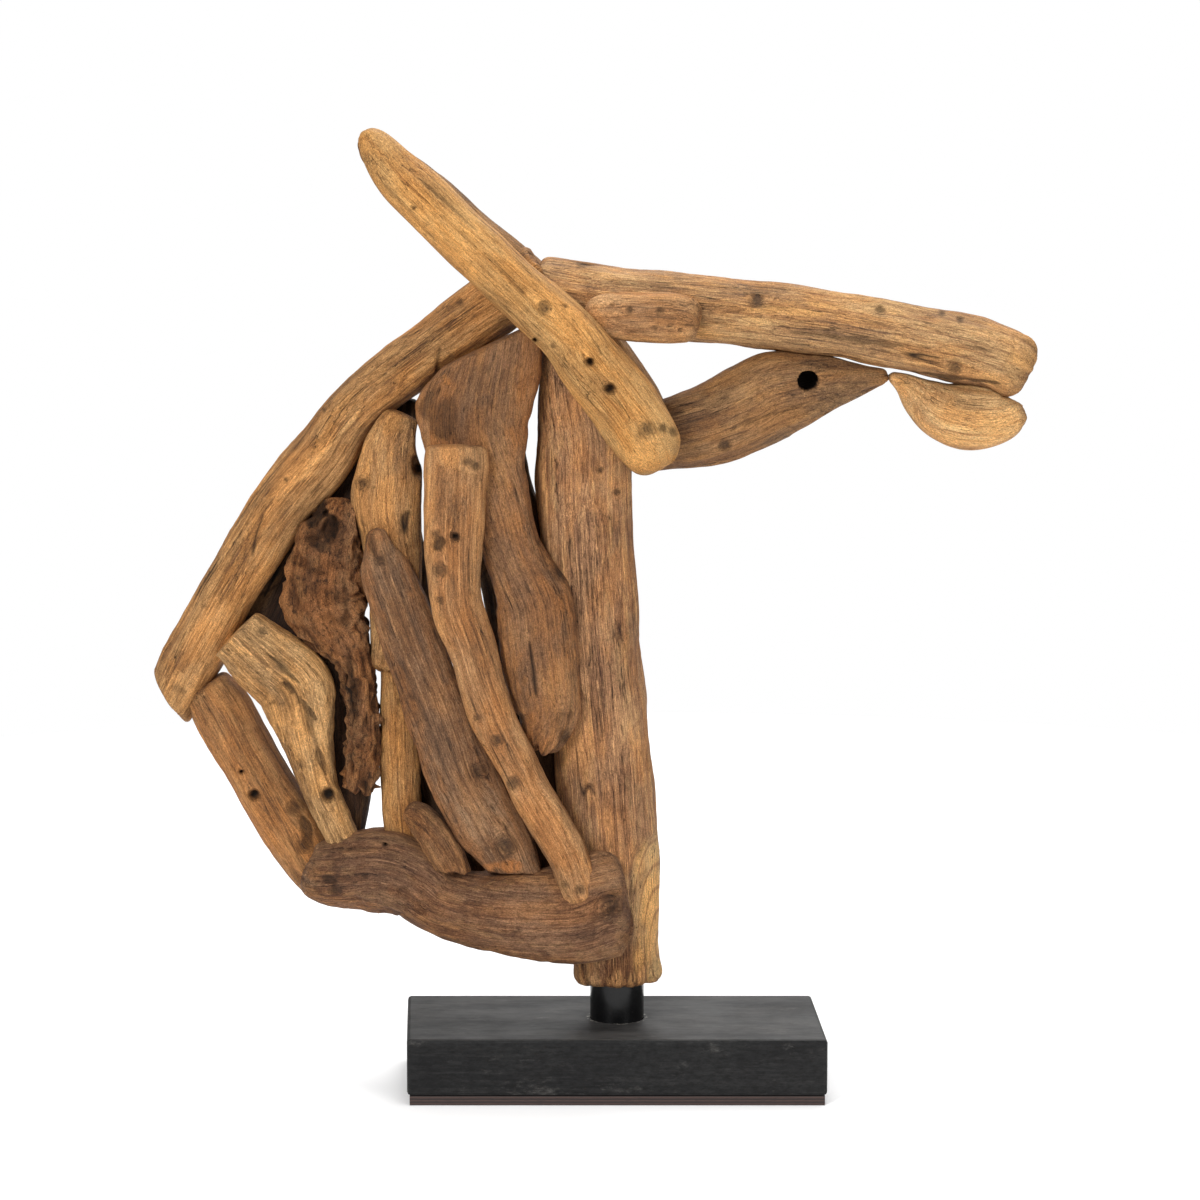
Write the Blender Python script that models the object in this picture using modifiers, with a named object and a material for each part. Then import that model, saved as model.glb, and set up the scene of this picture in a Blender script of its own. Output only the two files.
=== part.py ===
"""Horse's head put together from old teak logs and slats, on a steel post in a black wooden base.

The origin is on the underside of the base, below the axis of the steel post. The horse looks along +X,
its left cheek faces -Y, and +Z is up. Lengths are in metres.
"""
import bmesh
import bpy
import numpy as np
from math import cos, pi, radians, sin
from mathutils import Matrix

MM = 0.001

# Base: a thin plywood foot under a solid block
BASE_WIDTH = 346 * MM
BASE_DEPTH = 150 * MM
BLOCK_HEIGHT = 48 * MM
BLOCK_EDGE = 3 * MM
BLOCK_OUT_OF_SQUARE = 6 * MM
FOOT_HEIGHT = 8 * MM
FOOT_INSET = 2 * MM

# Steel post, let into the block and into the throat post above it
STEEL_DIAMETER = 45 * MM
STEEL_SHOWS = 33 * MM
STEEL_IN_BLOCK = 26 * MM
STEEL_IN_WOOD = 60 * MM
STEEL_SIDES = 32

# Fits
TOUCH_GAP = 0.3 * MM
BORE_CLEARANCE = 0.5 * MM

# The horse, from the foot of its throat post to the tips of its ears
HORSE_HEIGHT = 711 * MM

# Places and sizes on the wood are shares of its height, each in 711ths of it
SHARE = HORSE_HEIGHT / 711
HORSE_FOOT = FOOT_HEIGHT + BLOCK_HEIGHT + STEEL_SHOWS

# Faceting of the logs
RING_EVERY = 33
LOG_SIDES = 12

# Height of the waves that the weather left along and around the logs
WAVE_SHARE = 0.035

# Eye, bored into the jaw log from the horse's left, whose face there stands at EYE_MOUTH
EYE_PLACE = (158, 505)
EYE_MOUTH = -27
EYE_DIAMETER = 17
EYE_DEPTH = 20
EYE_SIDES = 24

# Hollows worn or cut into the logs: middle as (across, depth, up), half lengths, and turn about Y in degrees
HOLLOWS = {
    "chest_log": ((-178, -48, 54), (17, 12, 9), 25),
    "root_slab": ((-236, -36, 356), (15, 9, 20), 10),
    "broad_slab": ((-40, -58, 222), (22, 16, 22), 0),
    "throat_post": ((58, -44, 90), (34, 30, 90), 0),
}

TEAK = {
    "pale_teak": (0.55, 0.33, 0.15),
    "golden_teak": (0.45, 0.24, 0.09),
    "brown_teak": (0.30, 0.15, 0.06),
    "grey_teak": (0.17, 0.10, 0.06),
    "red_teak": (0.18, 0.08, 0.04),
}

# Middle line of an ear as (across, up, width, depth)
EAR = [
    (-204, 706, 14, 24), (-195, 697, 27, 34), (-178, 676, 37, 42), (-154, 652, 44, 46), (-100, 601, 45, 48),
    (-46, 551, 49, 50), (-23, 523, 55, 50), (-1, 496, 56, 48), (17, 471, 56, 46), (30, 450, 48, 40),
    (38, 439, 30, 30),
]

# How far the back ear's middle line lies lower and further back than the front one's, mostly at its tip
BACK_EAR_SHIFT = [6, 5, 4, 3, 1, -1, -1, 1, 3, 4, 4]
BACK_EAR = [(x - shift, up - shift, *size) for (x, up, *size), shift in zip(EAR, BACK_EAR_SHIFT)]

# Each log: its colour, the depth of its middle at both ends, its middle line as (across, up, width, depth),
# how far its ends are rounded as (along, inwards), the lean of both end cuts and its section's squareness.
# They stand in the order in which they are put together: each is notched to fit round those before it.
LOGS = {
    "throat_post": ("brown_teak", (0, 0), [
        (-1, 0, 70, 70), (-3, 67, 75, 72), (-6, 127, 80, 74), (-16, 245, 79, 74), (-24, 363, 77, 72),
        (-27, 412, 77, 70), (-28, 458, 74, 66), (-33, 493, 62, 60), (-38, 530, 48, 54), (-40, 552, 40, 48),
    ], ((9, 7), (4, 3)), (0, 0), 2.6),
    "nose_log": ("golden_teak", (0, 0), [
        (-66, 579, 51, 52), (-20, 571, 54, 58), (26, 566, 55, 58), (105, 558, 55, 58), (186, 549, 54, 56),
        (267, 533, 57, 56), (304, 523, 55, 54), (322, 516, 54, 52), (336, 510, 47, 46),
    ], ((6, 4), (13, 11)), (0, 0), 2.5),
    "crest_log": ("brown_teak", (0, 0), [
        (-370, 238, 47, 46), (-341, 293, 49, 52), (-314, 340, 49, 54), (-279, 396, 52, 56),
        (-242, 441, 52, 56), (-213, 481, 46, 54), (-168, 517, 47, 54), (-101, 565, 52, 54),
        (-60, 591, 50, 52),
    ], ((5, 5), (4, 4)), (-30, 0), 2.3),
    "jaw_log": ("brown_teak", (-4, -4), [
        (8, 450, 48, 44), (39, 458, 58, 50), (60, 463, 63, 52), (84, 470, 67, 52), (110, 482, 72, 52),
        (130, 492, 72, 50), (152, 497, 60, 46), (179, 502, 40, 38), (201, 505, 25, 30), (220, 507, 12, 22),
    ], ((3, 3), (5, 4)), (0, 0), 2.3),
    "lip_block": ("pale_teak", (0, 0), [
        (223, 507, 8, 20), (236, 500, 20, 28), (250, 489, 35, 36), (266, 479, 48, 44), (284, 474, 54, 46),
        (302, 473, 51, 46), (316, 474, 42, 42), (326, 478, 28, 36), (331, 481, 16, 28),
    ], ((3, 2), (2, 3)), (0, 0), 2.5),
    "brow_block": ("golden_teak", (-29, -29), [
        (-26, 562, 28, 22), (-5, 559, 38, 28), (27, 558, 41, 30), (49, 557, 40, 28), (66, 554, 34, 24),
    ], ((14, 9), (8, 7)), (0, 0), 3.0),
    "ear_front": ("pale_teak", (-52, -50), EAR, ((4, 3), (8, 8)), (0, 0), 2.5),
    "ear_back": ("golden_teak", (52, 50), BACK_EAR, ((4, 3), (8, 8)), (0, 0), 2.5),
    "chest_log": ("brown_teak", (-8, -46), [
        (-261, 98, 32, 44), (-250, 96, 48, 58), (-227, 96, 58, 62), (-208, 98, 68, 62), (-189, 97, 71, 62),
        (-167, 88, 63, 60), (-148, 75, 56, 58), (-119, 68, 61, 56), (-88, 65, 71, 54), (-60, 64, 80, 52),
        (-33, 66, 86, 50), (-8, 75, 92, 48), (8, 78, 74, 44),
    ], ((8, 8), (10, 12)), (0, 0), 2.4),
    "shoulder_log": ("brown_teak", (2, 0), [
        (-342, 250, 40, 46), (-329, 231, 50, 50), (-313, 201, 49, 52), (-295, 169, 48, 54),
        (-276, 137, 47, 54), (-258, 107, 46, 52), (-245, 86, 40, 48), (-238, 74, 32, 40),
    ], ((6, 5), (6, 6)), (0, 0), 2.4),
    "root_slab": ("red_teak", (-16, -16), [
        (-224, 407, 18, 24), (-228, 390, 38, 32), (-235, 372, 54, 38), (-238, 351, 61, 40),
        (-239, 325, 67, 40), (-233, 307, 58, 38), (-224, 290, 44, 36), (-215, 272, 31, 34),
        (-212, 248, 28, 34), (-210, 220, 27, 34), (-211, 190, 29, 32), (-212, 166, 28, 30),
    ], ((4, 4), (4, 4)), (0, 0), 2.8),
    "elbow_branch": ("brown_teak", (-20, -12), [
        (-313, 297, 52, 34), (-288, 273, 61, 36), (-267, 253, 64, 38), (-260, 231, 57, 38),
        (-255, 208, 43, 36), (-251, 190, 35, 34), (-245, 165, 30, 34), (-235, 140, 29, 34),
        (-226, 120, 27, 32),
    ], ((3, 2), (4, 4)), (0, 0), 2.5),
    "diagonal_slat": ("grey_teak", (-32, -34), [
        (-196, 385, 14, 20), (-194, 370, 26, 26), (-190, 353, 42, 30), (-183, 333, 45, 30),
        (-165, 282, 48, 30), (-151, 247, 52, 30), (-139, 213, 55, 30), (-127, 180, 58, 30),
        (-111, 149, 56, 30), (-96, 123, 52, 30), (-85, 101, 44, 30),
    ], ((5, 4), (2, 2)), (0, -27), 3.0),
    "broad_slab": ("grey_teak", (-28, -34), [
        (-104, 535, 89, 30), (-113, 495, 100, 34), (-114, 469, 92, 36), (-110, 450, 80, 36),
        (-103, 428, 57, 36), (-95, 399, 50, 34), (-87, 370, 48, 34), (-78, 348, 54, 36),
        (-68, 324, 66, 38), (-64, 291, 65, 38), (-60, 258, 60, 38), (-57, 234, 54, 36), (-60, 215, 38, 32),
        (-63, 204, 24, 26),
    ], ((3, 3), (4, 4)), (38, 0), 3.0),
    "bent_slat": ("golden_teak", (-50, -54), [
        (-130, 455, 48, 26), (-130, 440, 51, 28), (-131, 411, 50, 30), (-133, 376, 49, 30),
        (-133, 346, 45, 30), (-130, 321, 42, 30), (-120, 291, 40, 30), (-108, 253, 37, 30),
        (-94, 218, 36, 30), (-75, 180, 34, 30), (-57, 149, 33, 30), (-41, 119, 34, 28), (-31, 92, 34, 26),
        (-27, 80, 28, 24),
    ], ((3, 2), (5, 5)), (0, 0), 2.8),
    "paddle_slat": ("golden_teak", (-20, -14), [
        (-176, 478, 26, 20), (-182, 463, 36, 26), (-186, 447, 46, 30), (-187, 426, 57, 32),
        (-189, 406, 59, 34), (-186, 381, 52, 34), (-183, 357, 46, 32), (-183, 323, 41, 30),
        (-188, 290, 31, 26), (-192, 265, 20, 22),
    ], ((4, 3), (6, 6)), (0, 0), 2.7),
    "pale_slat": ("pale_teak", (-10, -10), [
        (-184, 289, 22, 22), (-182, 256, 27, 26), (-181, 222, 32, 28), (-180, 188, 34, 30),
        (-179, 155, 34, 30), (-177, 125, 32, 30), (-172, 96, 30, 28),
    ], ((4, 4), (2, 2)), (0, 0), 2.7),
    "foot_wedge": ("golden_teak", (-34, -38), [
        (-173, 153, 14, 18), (-163, 146, 23, 24), (-152, 132, 28, 26), (-143, 118, 30, 26),
        (-135, 101, 28, 26),
    ], ((4, 3), (2, 2)), (0, -25), 3.0),
    "back_broad_slat": ("brown_teak", (16, 18), [
        (-116, 522, 60, 28), (-107, 450, 60, 30), (-98, 403, 60, 30), (-83, 353, 66, 32), (-75, 302, 68, 32),
        (-67, 235, 68, 32), (-59, 167, 64, 30), (-52, 92, 58, 28),
    ], ((4, 4), (3, 3)), (0, 0), 2.8),
    "back_middle_slat": ("grey_teak", (12, 10), [
        (-186, 488, 48, 26), (-190, 440, 42, 28), (-189, 403, 44, 28), (-178, 336, 46, 28),
        (-175, 286, 44, 28),
        (-170, 235, 48, 28), (-162, 167, 56, 28), (-134, 74, 84, 28),
    ], ((4, 4), (3, 3)), (0, 0), 2.8),
    "back_short_slat": ("grey_teak", (12, 10), [
        (-219, 297, 30, 24), (-226, 264, 46, 28), (-224, 218, 43, 30), (-224, 177, 44, 30),
        (-225, 150, 36, 30), (-224, 119, 25, 28),
    ], ((4, 4), (3, 3)), (0, 0), 2.6),
    "back_upper_slat": ("red_teak", (14, 14), [
        (-200, 455, 36, 26), (-228, 394, 54, 28), (-241, 361, 68, 30), (-262, 323, 86, 30),
        (-281, 282, 72, 28),
    ], ((4, 4), (4, 4)), (0, 0), 2.6),
}


def new_collection(name):
    """A collection of that name, linked to the scene."""
    collection = bpy.data.collections.new(name)
    bpy.context.scene.collection.children.link(collection)
    return collection


def new_material(name, colour, roughness, metallic=0.0):
    """A Principled material of one colour."""
    material = bpy.data.materials.new(name)
    material.use_nodes = True
    shader = material.node_tree.nodes["Principled BSDF"]
    shader.inputs["Base Color"].default_value = (*colour, 1.0)
    shader.inputs["Roughness"].default_value = roughness
    shader.inputs["Metallic"].default_value = metallic
    return material


def as_object(name, bm, collection, material=None):
    """Turns a bmesh into an object of the collection."""
    bmesh.ops.recalc_face_normals(bm, faces=bm.faces)
    mesh = bpy.data.meshes.new(name)
    bm.to_mesh(mesh)
    bm.free()
    piece = bpy.data.objects.new(name, mesh)
    collection.objects.link(piece)
    if material:
        mesh.materials.append(material)
    return piece


def through_stations(stations, where):
    """Catmull-Rom curve through the stations, read at places counted in stations."""
    padded = np.vstack([2 * stations[0] - stations[1], stations, 2 * stations[-1] - stations[-2]])
    first = np.clip(np.floor(where).astype(int), 0, len(stations) - 2)
    t = (where - first)[:, None]
    a, b, c, d = (padded[first + step] for step in range(4))
    return 0.5 * (2 * b + (c - a) * t + (2 * a - 5 * b + 4 * c - d) * t**2 + (3 * b - a - 3 * c + d) * t**3)


def corner_places(length):
    """Distances from an end at which the rings of its rounded corner stand."""
    return [0.0, length * (1 - cos(pi / 4)), length]


def ring_places(total, start_round, end_round):
    """Distances along a log at which its rings stand: close in the rounded ends, and evenly between them."""
    middle = max(2, round((total - start_round - end_round) / RING_EVERY))
    body = np.linspace(start_round, total - end_round, middle + 1)[1:-1]
    end_corner = total - np.array(corner_places(end_round)[::-1])
    return np.concatenate([corner_places(start_round), body, end_corner])


def corner_inset(distance, along, inwards):
    """How far a rounded end has drawn in at that distance from the end: a quarter of an ellipse."""
    share = np.clip(1 - distance / along, 0, 1)
    return inwards * (1 - np.sqrt(1 - share**2))


def log_blank(name, collection, material, depths, path, ends, leans, squareness):
    """A log before it is notched: rounded sections along a bent middle line in the horse's plane.

    Each section is a superellipse, |u / (width / 2)|^n + |v / (depth / 2)|^n = 1, with shallow waves on it.
    """
    stations = np.array(path, float)
    fine = np.linspace(0, len(stations) - 1, 400)
    fine_line = through_stations(stations, fine)
    travelled = np.concatenate([[0], np.cumsum(np.hypot(*np.diff(fine_line[:, :2], axis=0).T))])
    total = travelled[-1]
    (start_along, start_in), (end_along, end_in) = ends
    places = ring_places(total, start_along, end_along)
    rings = through_stations(stations, np.interp(places, travelled, fine))
    ahead = np.gradient(fine_line[:, :2], axis=0)
    headings = np.arctan2(*(np.interp(places, travelled, ahead[:, part]) for part in (1, 0)))
    inset = corner_inset(places, start_along, start_in) + corner_inset(total - places, end_along, end_in)
    middle_depth = np.interp(places, [0, total], depths)
    phase = sum(map(ord, name))

    bm = bmesh.new()
    loops = []
    for place, ring, heading, drawn_in, y in zip(places, rings, headings, inset, middle_depth):
        across, up, width, depth = ring
        half_width = max(width / 2 - drawn_in, 1)
        half_depth = max(depth / 2 - drawn_in, 1)
        lean = (radians(leans[0]) * np.clip(1 - place / path[0][2], 0, 1)
                + radians(leans[1]) * np.clip(1 - (total - place) / path[-1][2], 0, 1))
        side = heading + pi / 2 + lean
        loop = []
        for corner in range(LOG_SIDES):
            turn = 2 * pi * (corner + 0.5) / LOG_SIDES
            wave = 1 + WAVE_SHARE * sin(place / 21 + phase) * cos(2 * turn + phase + place / 34)
            u = half_width * wave * np.sign(cos(turn)) * abs(cos(turn)) ** (2 / squareness)
            v = half_depth * wave * np.sign(sin(turn)) * abs(sin(turn)) ** (2 / squareness)
            x = (across + u * cos(side)) * SHARE
            z = (up + u * sin(side)) * SHARE + HORSE_FOOT
            loop.append(bm.verts.new((x, (y + v) * SHARE, z)))
        loops.append(loop)
    for near, far in zip(loops, loops[1:]):
        for corner in range(LOG_SIDES):
            after = (corner + 1) % LOG_SIDES
            bm.faces.new((near[corner], near[after], far[after], far[corner]))
    bm.faces.new(loops[0][::-1])
    bm.faces.new(loops[-1])
    bmesh.ops.triangulate(bm, faces=bm.faces)
    return as_object(name, bm, collection, material)


def cylinder(name, collection, radius, length, matrix, sides=STEEL_SIDES, material=None):
    """A closed cylinder about the matrix's Z axis, centred on it."""
    bm = bmesh.new()
    bmesh.ops.create_cone(bm, cap_ends=True, segments=sides, radius1=radius, radius2=radius, depth=length,
                          matrix=matrix)
    return as_object(name, bm, collection, material)


def egg(name, collection, centre, half_lengths, turn):
    """An egg-shaped cutter with its middle and half lengths in shares of the horse, turned about Y."""
    x, y, up = centre
    bm = bmesh.new()
    matrix = (Matrix.Translation((x * SHARE, y * SHARE, up * SHARE + HORSE_FOOT))
              @ Matrix.Rotation(radians(turn), 4, "Y")
              @ Matrix.Diagonal([*(half * SHARE for half in half_lengths), 1]))
    bmesh.ops.create_uvsphere(bm, u_segments=12, v_segments=8, radius=1, matrix=matrix)
    return as_object(name, bm, collection)


def box(name, collection, size, centre, material=None):
    """A box with those edge lengths."""
    bm = bmesh.new()
    bmesh.ops.create_cube(bm, size=1, matrix=Matrix.Translation(centre) @ Matrix.Diagonal((*size, 1)))
    return as_object(name, bm, collection, material)


def hide_cutter(cutter):
    """Marks an object as a tool that takes wood away."""
    cutter.hide_render = True
    cutter.display_type = "WIRE"


def cut(piece, cutter):
    """Takes the cutter's shape out of the piece."""
    modifier = piece.modifiers.new("cut by " + cutter.name, "BOOLEAN")
    modifier.operation = "DIFFERENCE"
    modifier.solver = "EXACT"
    modifier.object = cutter


def apply_cuts(piece):
    """Makes the cuts part of the mesh, and clears away the offcuts that they leave."""
    mesh = bpy.data.meshes.new_from_object(piece.evaluated_get(bpy.context.evaluated_depsgraph_get()))
    piece.modifiers.clear()
    piece.data = mesh
    bm = bmesh.new()
    bm.from_mesh(mesh)
    bmesh.ops.dissolve_degenerate(bm, dist=0.05 * MM, edges=bm.edges)
    bmesh.ops.triangulate(bm, faces=[face for face in bm.faces if len(face.verts) > 4])
    islands = []
    left = set(bm.verts)
    while left:
        island, front = set(), [left.pop()]
        while front:
            vert = front.pop()
            island.add(vert)
            beside = [edge.other_vert(vert) for edge in vert.link_edges]
            front += [other for other in beside if other in left]
            left.difference_update(beside)
        islands.append(island)
    islands.sort(key=len)
    bmesh.ops.delete(bm, geom=[vert for island in islands[:-1] for vert in island], context="VERTS")
    bm.to_mesh(mesh)
    bm.free()


def grown_copy(piece, collection, by):
    """A cutter shaped like the piece and larger all round, to notch its neighbours with."""
    cutter = bpy.data.objects.new("room for " + piece.name, piece.data.copy())
    collection.objects.link(cutter)
    hide_cutter(cutter)
    grow = cutter.modifiers.new("grow", "DISPLACE")
    grow.strength = by
    grow.mid_level = 0
    return cutter


def bounds(piece):
    """Lowest and highest corner of a piece."""
    corners = np.array([vert.co for vert in piece.data.vertices])
    return corners.min(axis=0), corners.max(axis=0)


def meet(one, other):
    """Whether the boxes round two pieces overlap."""
    (low, high), (other_low, other_high) = bounds(one), bounds(other)
    return bool(np.all(low < other_high) and np.all(other_low < high))


def build_base(parts, cutters):
    """The plywood foot, the black block with its bore, and the steel post that stands in it."""
    plywood = new_material("plywood", (0.045, 0.024, 0.019), 0.6)
    paint = new_material("black_paint", (0.02, 0.02, 0.021), 0.5)
    steel = new_material("black_steel", (0.012, 0.012, 0.013), 0.3, 0.0)
    box("base_foot", parts, (BASE_WIDTH - 2 * FOOT_INSET, BASE_DEPTH - 2 * FOOT_INSET, FOOT_HEIGHT),
        (0, 0, FOOT_HEIGHT / 2), plywood)

    height = BLOCK_HEIGHT - TOUCH_GAP
    block = box("base_block", parts, (BASE_WIDTH, BASE_DEPTH, height),
                (0, 0, FOOT_HEIGHT + TOUCH_GAP + height / 2), paint)
    for vert in block.data.vertices:
        if vert.co.y > 0:
            vert.co.x -= BLOCK_OUT_OF_SQUARE
    edges = block.modifiers.new("worn edges", "BEVEL")
    edges.width = BLOCK_EDGE
    edges.segments = 2

    block_top = FOOT_HEIGHT + BLOCK_HEIGHT
    steel_low = block_top - STEEL_IN_BLOCK
    steel_high = HORSE_FOOT + STEEL_IN_WOOD
    post = cylinder("steel_post", parts, STEEL_DIAMETER / 2, steel_high - steel_low,
                    Matrix.Translation((0, 0, (steel_low + steel_high) / 2)), material=steel)
    post.data.shade_smooth()
    post.data.set_sharp_from_angle(angle=radians(30))
    bore = cylinder("bore for steel_post", cutters, STEEL_DIAMETER / 2 + BORE_CLEARANCE,
                    steel_high - steel_low + 2 * TOUCH_GAP,
                    Matrix.Translation((0, 0, (steel_low + steel_high) / 2)))
    hide_cutter(bore)
    cut(block, bore)
    return bore


def build_horse(parts, cutters, bore):
    """Every log, notched round the ones that were put up before it."""
    teak = {name: new_material(name, colour, 0.75) for name, colour in TEAK.items()}
    blanks = {}
    for name, (colour, *shape) in LOGS.items():
        blanks[name] = log_blank(name, parts, teak[colour], *shape)
    rooms = {name: grown_copy(blank, cutters, TOUCH_GAP) for name, blank in blanks.items()}

    cut(blanks["throat_post"], bore)
    cut(blanks["jaw_log"], eye_bore(cutters))
    for name, shape in HOLLOWS.items():
        hollow = egg("hollow in " + name, cutters, *shape)
        hide_cutter(hollow)
        cut(blanks[name], hollow)
    names = list(LOGS)
    for place, name in enumerate(names):
        for earlier in names[:place]:
            if meet(blanks[name], rooms[earlier]):
                cut(blanks[name], rooms[earlier])
    for blank in blanks.values():
        apply_cuts(blank)


def eye_bore(cutters):
    """The cutter for the eye, half of it in the wood."""
    x, up = EYE_PLACE
    bore = cylinder("eye bore", cutters, EYE_DIAMETER / 2 * SHARE, 2 * EYE_DEPTH * SHARE,
                    Matrix.Translation((x * SHARE, EYE_MOUTH * SHARE, up * SHARE + HORSE_FOOT))
                    @ Matrix.Rotation(radians(90), 4, "X"), sides=EYE_SIDES)
    hide_cutter(bore)
    return bore


def build():
    """Clears the scene and models the whole piece."""
    for old in list(bpy.data.objects):
        bpy.data.objects.remove(old)
    parts = new_collection("wooden horse sculpture")
    cutters = new_collection("cutters")
    bore = build_base(parts, cutters)
    build_horse(parts, cutters, bore)


build()
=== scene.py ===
"""Looks of the wooden horse sculpture: weathered teak logs and slats on a steel post and a black base."""
from math import radians

import bpy
import numpy as np
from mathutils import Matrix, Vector


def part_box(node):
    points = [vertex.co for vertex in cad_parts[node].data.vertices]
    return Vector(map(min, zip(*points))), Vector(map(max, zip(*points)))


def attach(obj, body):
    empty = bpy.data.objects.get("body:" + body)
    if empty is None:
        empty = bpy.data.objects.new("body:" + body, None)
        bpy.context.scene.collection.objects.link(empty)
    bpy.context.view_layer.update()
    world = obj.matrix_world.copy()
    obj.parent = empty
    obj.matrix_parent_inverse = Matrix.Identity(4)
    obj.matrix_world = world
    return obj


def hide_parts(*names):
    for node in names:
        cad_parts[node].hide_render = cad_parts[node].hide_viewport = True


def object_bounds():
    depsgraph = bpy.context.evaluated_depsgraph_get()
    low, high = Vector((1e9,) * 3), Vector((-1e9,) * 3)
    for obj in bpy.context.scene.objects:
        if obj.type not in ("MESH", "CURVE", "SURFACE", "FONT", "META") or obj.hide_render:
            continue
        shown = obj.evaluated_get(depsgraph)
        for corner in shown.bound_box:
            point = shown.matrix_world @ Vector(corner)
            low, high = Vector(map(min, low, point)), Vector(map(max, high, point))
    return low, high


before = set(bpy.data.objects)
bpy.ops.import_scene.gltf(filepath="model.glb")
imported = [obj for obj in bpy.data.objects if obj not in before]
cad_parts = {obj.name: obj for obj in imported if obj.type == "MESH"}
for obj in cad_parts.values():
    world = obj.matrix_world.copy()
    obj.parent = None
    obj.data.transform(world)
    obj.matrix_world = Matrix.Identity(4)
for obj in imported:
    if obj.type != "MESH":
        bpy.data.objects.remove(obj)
cad_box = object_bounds()

MM = 0.001

# Camera of the photograph: fitted to the edges of the base
PHOTO_SIZE = 1200
FOCAL_PIXELS = 4039
CAMERA_PLACE = (-0.01425, -3.3, 0.909)
CAMERA_PITCH = radians(8.6)
PIXEL = 0.81 * MM

# Places on the wood are counted from the throat post's foot, in shares: 710 reach the top of the solids
TOP_SHARES = 710
HORSE_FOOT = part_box("throat_post")[0][2]
SHARE = (cad_box[1][2] - HORSE_FOOT) / TOP_SHARES

# Grid of a log: points read on its middle line, steps along it and round it, and rings in a rounded end
LINE_POINTS = 400
STEP_ALONG = 1.9 * MM
STEP_ROUND = 1.1 * MM
END_RINGS = 7

# How far a ragged end reaches, and an end's cap: its rings as shares of the last one, and how far it bulges
END_REACH = 22 * MM
CAP_SHARES = (0.93, 0.78, 0.6, 0.4, 0.2)
CAP_DOME = 1.2 * MM

# Height of the waves that the weather left along and around the logs, with their lengths in shares
WAVE_SHARE = 0.022
WAVE_ALONG = 21
WAVE_TWIST = 34

# Number of flat faces hewn on each log
FACETS = 14

# Half width in metres at which the relief has its full height
FULL_RELIEF = 14 * MM

# Waves of the weather: length along the grain and round the log, in mm, in the order in which they are drawn
WEATHER_WAVES = {"dents": (13, 8), "burr": (4.5, 3.6), "fine burr": (2.4, 1.6), "furrows": (20, 1.1),
                 "gullies": (26, 2.8), "erosion": (28, 12), "split": (60, 5), "opened": (24, 9)}
JAG_WAVE = (4, 2.6)
RIM_WAVE = (5, 3.5)

# Height of the burr's lumps in mm, and how ragged the far end of a log is in mm
LUMPS = {"root_slab": 2.0, "chest_log": 0.35, "broad_slab": 0.35, "elbow_branch": 0.35, "foot_wedge": 0.35,
         "diagonal_slat": 0.25, "ear_front": 0.03, "ear_back": 0.1, "lip_block": 0.06}
PLAIN_LUMPS = 0.12
RAGGED_ENDS = {"broad_slab": 3.0, "root_slab": 3.0, "foot_wedge": 2.0, "elbow_branch": 2.0}
PLAIN_END = 0.8

# Middle line of an ear as (across, up, width, depth)
EAR = [
    (-204, 706, 14, 24), (-195, 697, 27, 34), (-178, 676, 37, 42), (-154, 652, 44, 46), (-100, 601, 45, 48),
    (-46, 551, 49, 50), (-23, 523, 55, 50), (-1, 496, 56, 48), (17, 471, 56, 46), (30, 450, 48, 40),
    (38, 439, 30, 30),
]

# How far the back ear's middle line lies lower and further back than the front one's, mostly at its tip
BACK_EAR_SHIFT = [6, 5, 4, 3, 1, -1, -1, 1, 3, 4, 4]
BACK_EAR = [(x - shift, up - shift, *size) for (x, up, *size), shift in zip(EAR, BACK_EAR_SHIFT)]

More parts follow.
